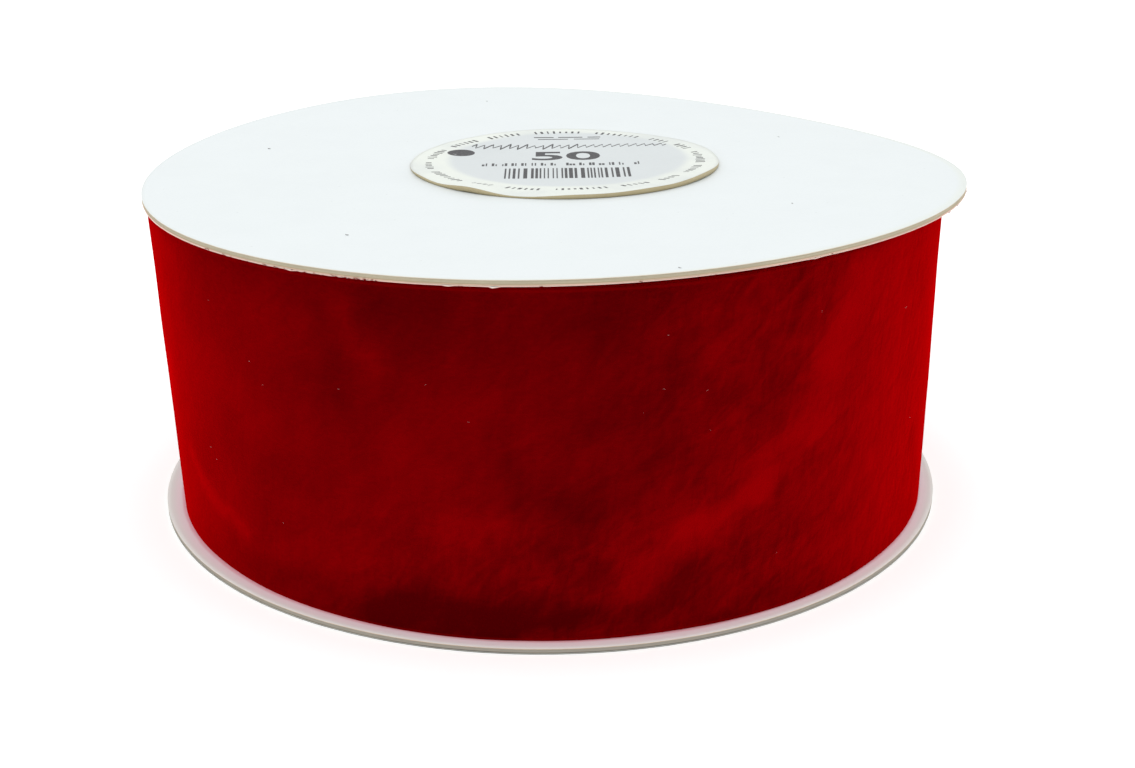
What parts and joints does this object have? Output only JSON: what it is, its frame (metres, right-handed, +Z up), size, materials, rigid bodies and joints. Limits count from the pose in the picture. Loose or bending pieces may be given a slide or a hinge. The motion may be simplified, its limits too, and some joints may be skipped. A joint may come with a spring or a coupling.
{
  "type": "ribbon spool",
  "caption": "Round spool of wide velvet gift ribbon, wound on a paper core between white board flanges, with a round paper label over the spindle hole.",
  "frame": {"origin": "centre of the lower flange's outer face, which the spool lies on", "axes": "+Z up along the spool's axis, from the lower flange to the labelled upper flange; -Y towards the viewer; the ribbon's taped end is at the back, between +Y and -X"},
  "size_m": [0.13, 0.13, 0.0534],
  "materials": {
    "flange_paper": "matte",
    "grey_board": "matte",
    "core_board": "matte",
    "kraft_paper": "matte",
    "core_cover": "matte",
    "glue": "satin",
    "velvet": "matte",
    "double_sided_tape": "satin",
    "clear_tape": "gloss",
    "label_paper": "satin"
  },
  "bodies": {
    "root": {"lower_flange_outer_paper": "flange_paper", "lower_flange_board": "grey_board", "lower_flange_inner_paper": "flange_paper", "core_lining": "kraft_paper", "core_inner_ply": "core_board", "core_outer_ply": "core_board", "core_cover": "core_cover", "lower_glue_bead": "glue", "upper_glue_bead": "glue", "start_tape": "double_sided_tape", "ribbon": "velvet", "tail_tape": "clear_tape", "upper_flange_inner_paper": "flange_paper", "upper_flange_board": "grey_board", "upper_flange_outer_paper": "flange_paper", "label": "label_paper"}
  },
  "joints": []
}
